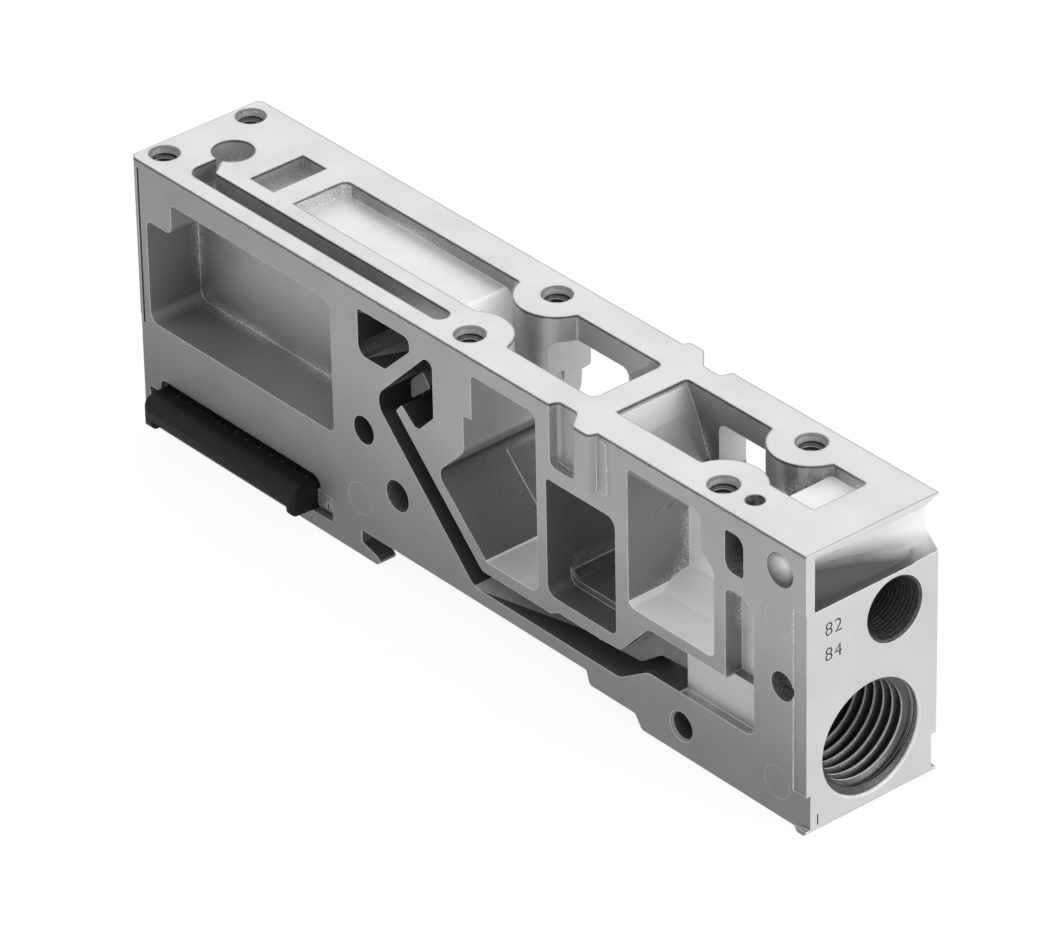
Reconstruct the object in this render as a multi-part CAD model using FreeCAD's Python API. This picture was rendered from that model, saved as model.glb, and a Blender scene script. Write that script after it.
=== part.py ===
import FreeCAD, Part
import math
import os

# Air supply plate for a row of pneumatic valves: a narrow aluminium die casting that stands on
# edge between its neighbours, with a black electrical link plug seated in its lower left part.
# Sizes are millimetres. x runs from the left end, y from the front side face and drop from
# the machined top face; at() turns them into the frame, whose origin is under the middle.

# Whole plate
length = 107.3
width = 17.9
height = 33.5

# Outline of the side face, from the left end
flange_drop = height - 14.1          # the left flange ends this far down
flange_step = 0.65          # and the edge below it lies this far in
tail_drop = height - 0.45           # underside beneath the link plug
hook_x = 37.6               # inner wall of the hook
hook_reach = 3.0            # its tip, beyond that wall
hook_height = 1.55          # its throat, at the wall
hook_slope = 0.7            # fall of the throat towards the tip
hook_wall = 2.2             # each of its two lugs, across the plate
belly_drop = height - 3.7           # underside in the middle
belly_step_x = 73.8         # first step of the underside
belly_step = 1.6
bore_step_x = 81.9          # second step, under the main port's wall
bore_floor_drop = height - 0.6
toe_length = 1.3            # end toe, along the plate
outline_round = 0.5
end_edge_round = 0.1       # top and bottom edges of the milled ends
plan_round = 0.9           # upright corners of the left end

# Corner rounds of the windows, ducts, channels and the link
crisp_round = 0.2
small_round = 0.5
middle_round = 0.9
wide_round = 1.3
broad_round = 2.1

# Screw holes of the top face, M3
screw_major = 3.0
screw_rim = 3.45
screw_depth = 6.0
screw_columns = (2.2, 52.7, 91.8)
screw_inset = 3.0           # from either side face
screw_wall = 0.6            # least metal round a screw hole, in the exhaust window
vent_x = 96.1
vent_y = 3.35
vent_bore = 2.05
vent_depth = 4.0

# Recesses of the top face
pocket_depth = 2.6
keyhole_x = 6.8
keyhole_y = 8.75
keyhole_radius = 2.36
slot_left = 6.85
slot_right = 48.6
slot_front = 2.2
slot_back = 4.35
slot_neck = 0.9
slot_corner = 1.7           # its outer corner beside the keyhole
slot_throat = 1.5           # its inner corner there is cut back by this
oblong_left = 12.6
oblong_right = 16.5
duct_front = 6.4            # common front and back lines of the recesses
duct_back = 13.7
recess_left = 19.8
recess_depth = 1.66
ramp_x = 46.2
boss_radius = 4.65          # metal kept round each screw of the two ducts

# Supply duct, open at the top, the front and the back
supply_right = 70.7
supply_front = 4.1
supply_floor = 8.0
supply_web_y = 7.0          # web beside the front boss, below the shaft's upper part
supply_web_drop = 3.0
ramp_web_y = 8.3            # web that closes the front window against the ramp
ramp_web_drop = 8.3
web_round = 0.4             # fillet between a boss and the wall beside it

# Exhaust duct, open at the top, the front and the back
exhaust_left = 74.3
ramp_bend_x = 75.6          # its left wall slopes in two parts
ramp_bend_drop = 3.0
ramp_foot_x = 77.6
ramp_foot_drop = 7.8
exhaust_floor = 10.3
exhaust_web_y = 8.3         # web that closes the front window's left side
exhaust_web_top = 0.5
exhaust_web_drop = 4.6
shelf_right = 101.35
shelf_depth = 1.5

# Windows of the front side face
w1_left = 2.35
w1_right = 33.45
w1_top = 3.35
w1_bottom = 19.7
w1_depth = 7.0
w1_boss_right = 6.7
w1_boss_drop = 7.05
w2_left = 37.95
w2_right = 46.4
w2_top = 2.2
w2_bottom = 7.75
w2_depth = 6.1
w2_slope_x = 42.3           # its lower right corner is cut off by a slope
w2_slope_drop = 3.8
w3_left = 56.2
w3_right = 66.4
w3_top = 2.15
w3_bottom = height - 9.45
w3_shelf_drop = 7.6
w3_shelf = 1.35
w3_corner_drop = 16.6
w3_corner_x = 50.4
w3_heel_x = 58.1
back_ceiling = 3.05
jamb_lean = 0.14            # lean of the left jambs of the back windows, for each mm inwards
jamb_round = 1.0
w3_back_left = 54.45
w3_back_right = 65.3
w3_jamb_drop = 9.0          # the jamb rounds off here to a crease, where the wall below starts
w3_crease_x = 53.05
w3_crease_drop = 9.9
w3_belly_x = 52.85
w3_belly_drop = 12.2
w3_back_corner_x = 51.3
w4_left = 67.85
w4_right = 78.6
w4_top = 9.15
w4_bottom = height - 10.2
w4_sill_depth = 3.2
w4_sill = 0.8
w4_pocket_y = 3.55          # pocket low in its left wall
w4_pocket_drop = w4_bottom - 3.3
w4_pocket_reach = 0.8
w5_left = 80.55
w5_right = 93.6
w5_neck_right = 91.75
w5_neck_drop = 6.6
w5_shoulder_drop = 8.2
w5_top = 2.1
w5_bottom = height - 14.85
w5_depth = 8.3
w5_back_left = 78.63
w5_back_right = 87.0
relief_left = 95.25
relief_right = 98.05
relief_top = 2.3
relief_bottom = 7.1
relief_depth = 6.0

# Hook-shaped channel of the front side face
channel_depth = 5.5
channel_left = 40.25        # outer corner of the hook
channel_turn = 12.05
channel_top_right = 50.05
channel_right = 99.55
cradle_x = 47.3             # lowest point of the hook's inner bay
cradle_drop = 13.0
cradle_side_drop = 10.25
tongue_x = 44.9             # tongue between the bay and the slanting run
tongue_drop = 10.95
tongue_under_x = 43.97
tongue_under_drop = 12.03
lug_depth = 2.0             # lug that stands in the bay, below the face
lug_x = 44.1
lug_drop = 9.0
lug_point_x = 46.0
lug_point_drop = 7.2
lug_end_x = 47.2
lug_end_drop = 8.7
lug_foot_drop = 11.3
heel_x = 56.0               # slanting run meets the level run
heel_top_x = 57.4
run_top = height - 8.0
run_bottom = height - 5.35
run_step = 0.65
run_step_x = 68.9
ledge_x = 76.0              # ledge above the run, from here to where it climbs
ledge_bottom = run_top + 0.9
climb_x = 79.0
climb_top_x = 80.7
climb_right = 83.8
climb_dip = 0.35            # the climb is this much steeper than its ends
ledge_turn_x = 79.2
ledge_rise = 0.15
ledge_right = 83.6
ledge_lap = 0.6             # the ledge ends this far inside the deep run
ledge_depth = 1.6
arm_x = 88.4                # shallow arm at the right end
arm_top = height - 13.5
arm_bottom = height - 8.15
arm_deep = 1.95
arm_depth = 1.05
stem_left = 95.3            # upright stem above the arm
stem_top = 9.2
stem_round = 2.0
stem_depth = 2.25

# Round holes of the front side face
pin_hole_x = 38.48
pin_hole_drop = 16.98
pin_hole_bore = 3.33
pin_hole_depth = 4.0
tie_x = 43.79
tie_drop = height - 10.81
tie_bore = 3.68
end_hole_x = 103.8
lower_hole_x = 88.54
lower_hole_drop = height - 4.06
lower_hole_bore = 3.0
lower_hole_rim = 3.54
lower_hole_depth = 4.0
dimple_x = 103.45
dimple_drop = 3.33
dimple_bore = 3.9
dimple_depth = 1.0
ejector_mark = 3.8
ejector_sink = 0.06
ejector_places = ((103.2, 9.4), (103.0, height - 4.6), (37.5, height - 7.6))

# Aligning key and groove at mid-length, on both sides
key_cross_x = 72.6          # the flank that key and groove share crosses the face here
key_lean = 0.755            # run of that flank for each mm of depth
key_right = 76.1
key_height = 1.0
key_length = 7.3
keyway_left = 68.5
keyway_depth = 1.12
keyway_length = 7.4
key_flank = 0.4
key_round = 0.9
key_far_round = 0.55
key_end_round = 1.0
key_pad_right = 77.5        # low pad beside the front key
key_pad_top = 0.6
key_pad_bottom = 6.9
key_pad_height = 0.15
back_key_cross_x = 72.2
back_key_lean = 1.1
back_key_left = 68.9
back_key_height = 0.75
back_keyway_right = 76.6
back_keyway_depth = 1.32

# Port end
main_port_drop = height - 8.12
main_port_major = 13.157
main_port_rim = 13.5
main_thread_depth = 12.0
main_bore = 9.8
main_wall = 1.55
duct_reach = 2.0            # the duct behind the main port ends this far inside the stepped window
pilot_port_y = 12.0
pilot_port_drop = 11.3
pilot_port_major = 7.0
pilot_port_rim = 7.54
pilot_thread_depth = 8.0
lip_drop = 0.15
lip_reach = 2.1
lip_wall_top = 2.7
lip_wall_bottom = 4.9
lip_foot = 6.95
cheek = 1.15
pocket_length = 3.0         # scooped pocket under the lip, its roof falls towards the back
pocket_round = 1.8
pocket_back = 15.2
pocket_rise = 2.6
pocket_fall = 5.9
pocket_sink = 0.1
foot_drop = height - 4.7
foot_length = 1.9
foot_recess = 0.67          # at the end; it fades out along the foot
side_relief = 0.12

# Groove beside the left flange
flange_groove_x = 1.0
flange_groove_width = 0.4
flange_groove_depth = 0.5
flange_groove_top = 1.0

# Electrical link: a plug on the front, a socket on the back
link_middle = 17.2
link_length = 27.0
link_proud = 2.9
hood_top = height - 5.85
hood_brow = height - 3.35           # lower edge of its front strip
hood_round = 2.0
hood_corner = 0.9
hood_cheek = 1.6
hood_cavity = 1.6
link_play = 0.15
mouth_top = height - 7.05
mouth_step = height - 5.3
mouth_bottom = height - 2.3
mouth_ear = 1.95
ear_shelf_depth = 0.8       # the right ear is shallow down to its shelf
ear_shelf_drop = height - 3.5
body_depth = 1.0            # black body behind the hood, below the front face
socket_depth = 3.3
socket_rim = 1.0
contact_count = 12
contact_pitch = 2.0
contact_thick = 0.4
contact_drop = height - 2.9
contact_tip = 1.4           # free length in the hood's cavity
contact_foot_y = 0.3        # upright leg that shows on top of the hood
contact_end = 1.2
contact_proud = 0.05        # its leg stands this far out of the hood's top

overshoot = 1.0
front_y = (link_proud - width - back_key_height) / 2
back_screw_y = width - screw_inset


def at(x, y, drop):
    """Point in the frame, from the left end, the front face and the top face."""
    return FreeCAD.Vector(x - length / 2, y + front_y, height - drop)


def rounded_face(corners, place):
    """Flat face through (u, v, radius) corners, each rounded by its own radius."""
    arcs = []
    for index, (u, v, radius) in enumerate(corners):
        before = corners[index - 1]
        after = corners[(index + 1) % len(corners)]
        corner = FreeCAD.Vector(u, v, 0)
        back = FreeCAD.Vector(before[0] - u, before[1] - v, 0).normalize()
        ahead = FreeCAD.Vector(after[0] - u, after[1] - v, 0).normalize()
        half = back.getAngle(ahead) / 2
        reach = radius / math.tan(half)
        inward = (back + ahead).normalize()
        nearest = corner + inward * (radius / math.sin(half) - radius)
        arcs.append((corner + back * reach, nearest, corner + ahead * reach, radius))
    edges = []
    for index, (start, middle, end, radius) in enumerate(arcs):
        previous_end = arcs[index - 1][2]
        if previous_end.distanceToPoint(start) > 1e-6:
            edges.append(Part.makeLine(place(previous_end.x, previous_end.y), place(start.x, start.y)))
        if radius > 0:
            points = [place(point.x, point.y) for point in (start, middle, end)]
            edges.append(Part.Arc(*points).toShape())
    return Part.Face(Part.Wire(edges))


def side_prism(corners, start, end):
    """Solid with (x, drop, radius) corners, from y = start to y = end."""
    face = rounded_face(corners, lambda x, drop: at(x, start, drop))
    return face.extrude(FreeCAD.Vector(0, end - start, 0))


def top_prism(corners, start, end):
    """Solid with (x, y, radius) corners, from drop = start to drop = end."""
    face = rounded_face(corners, lambda x, y: at(x, y, start))
    return face.extrude(FreeCAD.Vector(0, 0, start - end))


def end_prism(corners, start, end):
    """Solid with (y, drop, radius) corners, from x = start to x = end."""
    face = rounded_face(corners, lambda y, drop: at(start, y, drop))
    return face.extrude(FreeCAD.Vector(end - start, 0, 0))


def box_corners(left, top, right, bottom, radius=0):
    return [(left, top, radius), (right, top, radius), (right, bottom, radius), (left, bottom, radius)]


def front_hole(x, drop, bore, depth):
    start = at(x, -overshoot, drop)
    return Part.makeCylinder(bore / 2, depth + overshoot, start, FreeCAD.Vector(0, 1, 0))


def top_hole(x, y, bore, depth):
    start = at(x, y, -overshoot)
    return Part.makeCylinder(bore / 2, depth + overshoot, start, FreeCAD.Vector(0, 0, -1))


def countersink(x, y, bore, rim):
    """Chamfer of a hole in the top face."""
    deep = (rim - bore) / 2
    flare = overshoot
    start = at(x, y, -flare)
    return Part.makeCone(rim / 2 + flare, bore / 2, deep + flare, start, FreeCAD.Vector(0, 0, -1))


def end_bore(y, drop, bore, rim, depth):
    """Chamfered hole into the port end."""
    inward = FreeCAD.Vector(-1, 0, 0)
    start = at(length + overshoot, y, drop)
    hole = Part.makeCylinder(bore / 2, depth + overshoot, start, inward)
    deep = (rim - bore) / 2
    flare = Part.makeCone(rim / 2 + overshoot, bore / 2, deep + overshoot, start, inward)
    return hole.fuse(flare)


def plate_blank():
    """Side outline of the casting, carried across its whole width."""
    hook_floor_at_wall = belly_drop + hook_height
    tip_x = hook_x + hook_reach
    corners = [
        (0, 0, end_edge_round),
        (length, 0, end_edge_round),
        (length, height, outline_round),
        (length - toe_length, height, outline_round / 2),
        (length - toe_length - outline_round, bore_floor_drop, outline_round / 2),
        (bore_step_x + outline_round, bore_floor_drop, outline_round),
        (bore_step_x - outline_round, belly_drop + belly_step, outline_round),
        (belly_step_x + outline_round, belly_drop + belly_step, outline_round),
        (belly_step_x, belly_drop, outline_round / 2),
        (hook_x, belly_drop, outline_round / 2),
        (hook_x, hook_floor_at_wall, outline_round / 2),
        (tip_x - outline_round, hook_floor_at_wall + hook_slope, outline_round / 4),
        (tip_x, hook_floor_at_wall + hook_slope + outline_round, outline_round / 2),
        (tip_x - outline_round, tail_drop, outline_round / 2),
        (flange_step, tail_drop, outline_round * 2),
        (flange_step, flange_drop, outline_round / 2),
        (0, flange_drop, outline_round / 2),
    ]
    plan = [
        (0, 0, plan_round),
        (length, 0, 0),
        (length, width, 0),
        (0, width, plan_round),
    ]
    blank = side_prism(corners, 0, width).common(top_prism(plan, -overshoot, height + overshoot))
    between = box_corners(hook_x, belly_drop, tip_x + overshoot, tail_drop + overshoot)
    return blank.cut(side_prism(between, hook_wall, width - hook_wall))


def key_prism(cross, lean, far, face, reach, long):
    """Rib or groove from a shared slanting flank to its far side, y from face to face + reach."""
    side = math.copysign(1, far - cross)
    inner = -overshoot * math.copysign(1, reach)
    corners = [
        (cross - side * lean * overshoot, face + inner, 0),
        (cross + side * lean * abs(reach), face + reach, key_round),
        (far - side * key_flank, face + reach, key_far_round),
        (far, face, 0),
        (far, face + inner, 0),
    ]
    depth = abs(reach) + overshoot
    rounded_end = side_prism(
        box_corners(min(cross, far), -long, max(cross, far), long, key_end_round), face - depth, face + depth)
    return top_prism(corners, 0, long).common(rounded_end)


def aligning_keys(plate):
    """Key and groove on the front that match the groove and key on a neighbour's back."""
    groove = key_prism(key_cross_x, key_lean, keyway_left, 0, keyway_depth, keyway_length)
    rib = key_prism(key_cross_x, key_lean, key_right, 0, -key_height, key_length)
    back_groove = key_prism(
        back_key_cross_x, back_key_lean, back_keyway_right, width, -back_keyway_depth, key_length)
    back_rib = key_prism(
        back_key_cross_x, back_key_lean, back_key_left, width, back_key_height, keyway_length)
    pad = side_prism([
        (key_right - key_flank, key_pad_top, 0),
        (key_pad_right, key_pad_top, small_round),
        (key_pad_right, key_pad_bottom, crisp_round),
        (key_right - key_flank, key_pad_bottom, 0),
    ], -key_pad_height, overshoot)
    return plate.cut(groove).fuse(rib).fuse(pad).cut(back_groove).fuse(back_rib)


def screw_holes():
    cuts = []
    for x in screw_columns:
        for y in (screw_inset, back_screw_y):
            cuts.append(top_hole(x, y, screw_major, screw_depth))
            cuts.append(countersink(x, y, screw_major, screw_rim))
    cuts.append(top_hole(vent_x, vent_y, vent_bore, vent_depth))
    return cuts


def top_pockets():
    """Keyhole pocket with its slot, the oblong pocket, and the shallow recess with its ramp."""
    keyhole = top_hole(keyhole_x, keyhole_y, 2 * keyhole_radius, pocket_depth)
    slot_end = 0.49 * (slot_back - slot_front)
    neck_y = keyhole_y - keyhole_radius
    slot = top_prism([
        (slot_left, slot_front, slot_corner),
        (slot_right, slot_front, slot_end),
        (slot_right, slot_back, slot_end),
        (slot_left + slot_neck + slot_throat, slot_back, 0),
        (slot_left + slot_neck, neck_y, 0),
        (slot_left + slot_neck, keyhole_y, 0),
        (slot_left, keyhole_y, 0),
    ], -overshoot, pocket_depth)
    oblong_corners = box_corners(oblong_left, duct_front, oblong_right, duct_back)
    oblong = top_prism(oblong_corners, -overshoot, pocket_depth)
    return [keyhole, slot, oblong]


def shallow_recess():
    """Level floor, then a slope at 45 degrees that runs down into the supply duct."""
    fall = w3_back_left + overshoot - ramp_x
    profile = [
        (recess_left, -overshoot, 0),
        (w3_back_left + overshoot, -overshoot, 0),
        (w3_back_left + overshoot, recess_depth + fall, 0),
        (ramp_x, recess_depth, middle_round),
        (recess_left, recess_depth, 0),
    ]
    outline = [
        (recess_left, duct_front, 0),
        (w3_back_left + overshoot, duct_front, 0),
        (w3_back_left + overshoot, duct_back, 0),
        (recess_left, duct_back, middle_round),
    ]
    deep = recess_depth + fall
    return side_prism(profile, duct_front, duct_back).common(top_prism(outline, -overshoot, deep))


def boss(x, y, deep):
    return Part.makeCylinder(boss_radius, deep, at(x, y, 0), FreeCAD.Vector(0, 0, -1))


def boss_with_webs(x, y, wall_y, deep, sides):
    """Boss that runs into a wall of its duct, with a fillet on each side named, -1 left or 1 right."""
    shape = boss(x, y, deep)
    inward = math.copysign(1, width / 2 - wall_y)
    centre_y = wall_y + inward * web_round
    span = boss_radius + web_round
    offset = math.sqrt(span ** 2 - (y - centre_y) ** 2)
    for side in sides:
        centre_x = x + side * offset
        touch_x = x + side * offset * boss_radius / span
        touch_y = y + (centre_y - y) * boss_radius / span
        wedge = top_prism([
            (x, wall_y - inward * overshoot, 0),
            (centre_x, wall_y - inward * overshoot, 0),
            (centre_x, wall_y, 0),
            (touch_x, touch_y, 0),
            (x, touch_y, 0),
        ], 0, deep)
        round_off = Part.makeCylinder(web_round, deep, at(centre_x, centre_y, 0), FreeCAD.Vector(0, 0, -1))
        shape = shape.fuse(wedge.cut(round_off))
    return shape


def leaning_prism(corners, start, lean):
    """Back window with (x, drop, radius) corners at the back face that moves by lean up to y = start."""
    end = width + overshoot
    slip = lean * (end - start) / (width - start)
    past = slip - lean
    face = rounded_face(corners, lambda x, drop: at(x + lean, start, drop))
    return face.extrude(FreeCAD.Vector(-lean - past, end - start, 0))


def supply_duct():
    """Window through the front, the back and the top, with the screw bosses left standing."""
    boss_x = screw_columns[1]
    lower = [
        (w3_left, w3_top, small_round),
        (w3_right, w3_top, middle_round),
        (w3_right, w3_bottom, wide_round),
        (w3_heel_x, w3_bottom, middle_round),
        (w3_corner_x, w3_corner_drop, wide_round),
        (w3_left - w3_shelf, w3_belly_drop, broad_round),
        (w3_left - w3_shelf, w3_shelf_drop, small_round),
        (w3_left, w3_shelf_drop, crisp_round),
    ]
    back_boss = boss_with_webs(boss_x, back_screw_y, duct_back, back_ceiling, (1,))
    front_part = side_prism(lower, -overshoot, duct_back).cut(back_boss)
    back_start = back_screw_y - boss_radius
    lean = jamb_lean * (width - back_start)
    upper_right = screw_columns[1] + boss_radius + web_round
    back_upper = leaning_prism([
        (w3_back_left, back_ceiling, jamb_round),
        (upper_right, back_ceiling, 0),
        (upper_right, w3_crease_drop, 0),
        (w3_crease_x, w3_crease_drop, 0),
        (w3_back_left, w3_jamb_drop, jamb_round),
    ], back_start, lean)
    back_right = side_prism([
        (boss_x + boss_radius, back_ceiling, 0),
        (w3_back_right, back_ceiling, jamb_round),
        (w3_back_right, w3_crease_drop, 0),
        (boss_x + boss_radius, w3_crease_drop, 0),
    ], duct_back - overshoot, width + overshoot)
    back_lower = side_prism([
        (w3_crease_x, w3_crease_drop, 0),
        (w3_back_right, w3_crease_drop, 0),
        (w3_back_right, w3_bottom, wide_round),
        (w3_heel_x, w3_bottom, middle_round),
        (w3_back_corner_x, w3_corner_drop, wide_round),
        (w3_belly_x, w3_belly_drop, broad_round),
    ], back_start, width + overshoot)
    top = [
        (boss_x, supply_front, 0),
        (supply_right, supply_front, middle_round),
        (supply_right, duct_back, middle_round),
        (boss_x, duct_back, 0),
    ]
    slope = [
        (boss_x, -overshoot, 0),
        (supply_right, -overshoot, 0),
        (supply_right, supply_floor / 2, small_round),
        (w3_right - overshoot, supply_floor, small_round),
        (w3_right - overshoot, supply_floor + overshoot, 0),
        (boss_x, supply_floor + overshoot, 0),
    ]
    deep = supply_floor * 2
    bosses = boss_with_webs(boss_x, screw_inset, supply_front, deep, (1,))
    bosses = bosses.fuse(boss_with_webs(boss_x, screw_inset, duct_front, deep, (-1,)))
    bosses = bosses.fuse(boss_with_webs(boss_x, back_screw_y, duct_back, deep, (-1, 1)))
    side_web = top_prism([
        (boss_x, 0, 0),
        (w3_left, 0, 0),
        (w3_left, supply_web_y, middle_round),
        (boss_x, supply_web_y, 0),
    ], supply_web_drop, deep)
    shaft = top_prism(top, -overshoot, supply_floor + overshoot)
    shaft = shaft.common(side_prism(slope, supply_front, duct_back)).cut(bosses).cut(side_web)
    ramp_web = top_prism([
        (boss_x, 0, 0),
        (w3_left, 0, 0),
        (w3_left, ramp_web_y, middle_round),
        (boss_x, ramp_web_y, 0),
    ], ramp_web_drop, deep)
    neck = shallow_recess().cut(bosses).cut(ramp_web)
    return [shaft, neck, front_part, back_upper, back_right, back_lower]


def exhaust_duct():
    """Sloping shaft from the top, with a shelf past the screws, down to its two windows."""
    boss_x = screw_columns[2]
    front_window = [
        (w5_left, w5_top, small_round),
        (w5_neck_right, w5_top, wide_round),
        (w5_neck_right, w5_neck_drop, small_round),
        (w5_right, w5_shoulder_drop, wide_round),
        (w5_right, w5_bottom, middle_round),
        (w5_left, w5_bottom, middle_round),
    ]
    shaft_outline = [
        (exhaust_left, supply_front, 0),
        (boss_x, supply_front, 0),
        (boss_x, duct_back, 0),
        (exhaust_left, duct_back, small_round),
    ]
    shelf_outline = [
        (boss_x, duct_front, 0),
        (shelf_right, duct_front, crisp_round),
        (shelf_right, duct_back, small_round),
        (boss_x, duct_back, 0),
    ]
    shaft_profile = [
        (exhaust_left, -overshoot, 0),
        (vent_x, -overshoot, 0),
        (vent_x, shelf_depth, 0),
        (boss_x - boss_radius, exhaust_floor, small_round),
        (ramp_foot_x + overshoot, exhaust_floor, small_round),
        (ramp_foot_x, ramp_foot_drop, middle_round),
        (ramp_bend_x, ramp_bend_drop, wide_round),
        (exhaust_left, exhaust_web_top, small_round),
    ]
    bosses = boss_with_webs(boss_x, screw_inset, supply_front, w5_neck_drop, (-1,))
    bosses = bosses.fuse(boss_with_webs(boss_x, screw_inset, duct_front, w5_neck_drop, (1,)))
    bosses = bosses.fuse(boss_with_webs(boss_x, back_screw_y, duct_back, exhaust_floor * 2, (-1, 1)))
    side_web = end_prism([
        (supply_front - overshoot, exhaust_web_top, 0),
        (supply_front, exhaust_web_top, 0),
        (exhaust_web_y, exhaust_web_drop, middle_round),
        (exhaust_web_y, exhaust_floor + overshoot, 0),
        (supply_front - overshoot, exhaust_floor + overshoot, 0),
    ], exhaust_left - overshoot, w5_left)
    shaft = top_prism(shaft_outline, -overshoot, exhaust_floor)
    neck_outline = box_corners(boss_x - overshoot, duct_front, vent_x, duct_back)
    shaft = shaft.fuse(top_prism(neck_outline, -overshoot, exhaust_floor))
    shaft = shaft.common(side_prism(shaft_profile, supply_front, duct_back)).cut(bosses).cut(side_web)
    shelf = top_prism(shelf_outline, -overshoot, shelf_depth).cut(bosses)
    screw_post = Part.makeCylinder(
        screw_rim / 2 + screw_wall, w5_neck_drop, at(boss_x, screw_inset, 0), FreeCAD.Vector(0, 0, -1))
    port_wall = Part.makeCylinder(
        main_port_major / 2 + main_wall, length, at(0, width / 2, main_port_drop), FreeCAD.Vector(1, 0, 0))
    front_part = side_prism(front_window, -overshoot, w5_depth).cut(screw_post).cut(port_wall)
    back_start = duct_back - overshoot
    left_part = leaning_prism([
        (w5_back_left, back_ceiling, jamb_round),
        (w5_back_right - overshoot, back_ceiling, 0),
        (w5_back_right - overshoot, exhaust_floor, 0),
        (w5_back_left, exhaust_floor, middle_round),
    ], back_start, jamb_lean * (width - back_start))
    back_part = side_prism([
        (w5_back_left + overshoot * 2, back_ceiling, 0),
        (w5_back_right, back_ceiling, jamb_round),
        (w5_back_right, exhaust_floor, middle_round),
        (w5_back_left + overshoot * 2, exhaust_floor, 0),
    ], back_start, width + overshoot)
    return [shaft, shelf, front_part, left_part, back_part]


def other_windows():
    """Blind windows at the left, the stepped window that the main port feeds, and the relief."""
    first = side_prism([
        (w1_left, w1_boss_drop, middle_round),
        (w1_boss_right, w1_boss_drop, middle_round),
        (w1_boss_right, w1_top, small_round),
        (w1_right, w1_top, wide_round),
        (w1_right, w1_bottom, middle_round),
        (w1_left, w1_bottom, wide_round),
    ], -overshoot, w1_depth)
    second = side_prism([
        (w2_left, w2_top, small_round),
        (w2_right, w2_top, middle_round),
        (w2_right, w2_slope_drop, small_round),
        (w2_slope_x, w2_bottom, middle_round),
        (w2_left, w2_bottom, wide_round),
    ], -overshoot, w2_depth)
    fourth = side_prism([
        (w4_left, w4_top, small_round),
        (w4_right, w4_top, wide_round),
        (w4_right, w4_bottom, middle_round),
        (w4_left, w4_bottom, wide_round),
    ], -overshoot, w4_sill_depth)
    through = side_prism([
        (w4_left, w4_top, small_round),
        (w4_right, w4_top, wide_round),
        (w4_right, w4_bottom - w4_sill, middle_round),
        (w4_left, w4_bottom - w4_sill, wide_round),
    ], 0, width + overshoot)
    fourth_pocket = side_prism(box_corners(
        w4_left - w4_pocket_reach, w4_pocket_drop, w4_left + overshoot, w4_bottom - w4_sill,
        crisp_round), w4_pocket_y, width - w4_pocket_y)
    relief = side_prism([
        (relief_left, relief_top, small_round),
        (relief_right, relief_top, wide_round),
        (relief_right, relief_bottom, small_round),
        (relief_left, relief_bottom, wide_round),
    ], -overshoot, relief_depth)
    return [first, second, fourth, through, fourth_pocket, relief]


def hook_channel():
    """Channel that hooks round the front face: a deep run, a ledge and a shallow arm."""
    slant = channel_left + channel_turn
    deep = side_prism([
        (channel_left, channel_turn, broad_round),
        (channel_top_right, slant - channel_top_right, middle_round),
        (channel_top_right, cradle_side_drop, crisp_round),
        (cradle_x, cradle_drop, middle_round),
        (tongue_x, tongue_drop, crisp_round),
        (tongue_under_x, tongue_under_drop, crisp_round),
        (heel_top_x, run_top, middle_round),
        (run_step_x - run_step, run_top, crisp_round),
        (run_step_x + run_step, run_top - run_step, crisp_round),
        (ledge_x, run_top - run_step, crisp_round),
        (ledge_x, ledge_bottom, crisp_round),
        (climb_top_x, ledge_bottom - climb_dip, wide_round),
        (climb_right, arm_bottom - arm_deep + climb_dip, wide_round),
        (arm_x, arm_bottom - arm_deep, crisp_round),
        (arm_x, arm_bottom, crisp_round),
        (climb_right - climb_dip, arm_bottom, broad_round),
        (climb_x, run_bottom, broad_round),
        (heel_x, run_bottom, broad_round),
    ], -overshoot, channel_depth)
    ledge = side_prism([
        (ledge_x, run_top - run_step, 0),
        (ledge_turn_x, run_top - run_step - ledge_rise, wide_round),
        (ledge_right, arm_top, wide_round),
        (arm_x, arm_top, 0),
        (arm_x, arm_bottom - arm_deep + ledge_lap, 0),
        (climb_right, arm_bottom - arm_deep + ledge_lap, 0),
        (climb_top_x, ledge_bottom + ledge_lap, 0),
        (ledge_x, ledge_bottom + ledge_lap, 0),
    ], -overshoot, ledge_depth)
    arm = side_prism([
        (arm_x, arm_top, 0),
        (channel_right, arm_top, 0),
        (channel_right, arm_bottom, wide_round),
        (arm_x, arm_bottom, 0),
    ], -overshoot, arm_depth)
    stem = side_prism([
        (stem_left, stem_top, middle_round),
        (channel_right, stem_top, stem_round),
        (channel_right, arm_top, crisp_round),
        (stem_left, arm_top, crisp_round),
    ], -overshoot, stem_depth)
    lug = side_prism([
        (lug_x, lug_drop, wide_round),
        (lug_point_x, lug_point_drop, crisp_round),
        (lug_end_x, lug_end_drop, crisp_round),
        (lug_x, lug_foot_drop, crisp_round),
    ], lug_depth, channel_depth + overshoot)
    return [deep.cut(lug), ledge, arm, stem]


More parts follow.
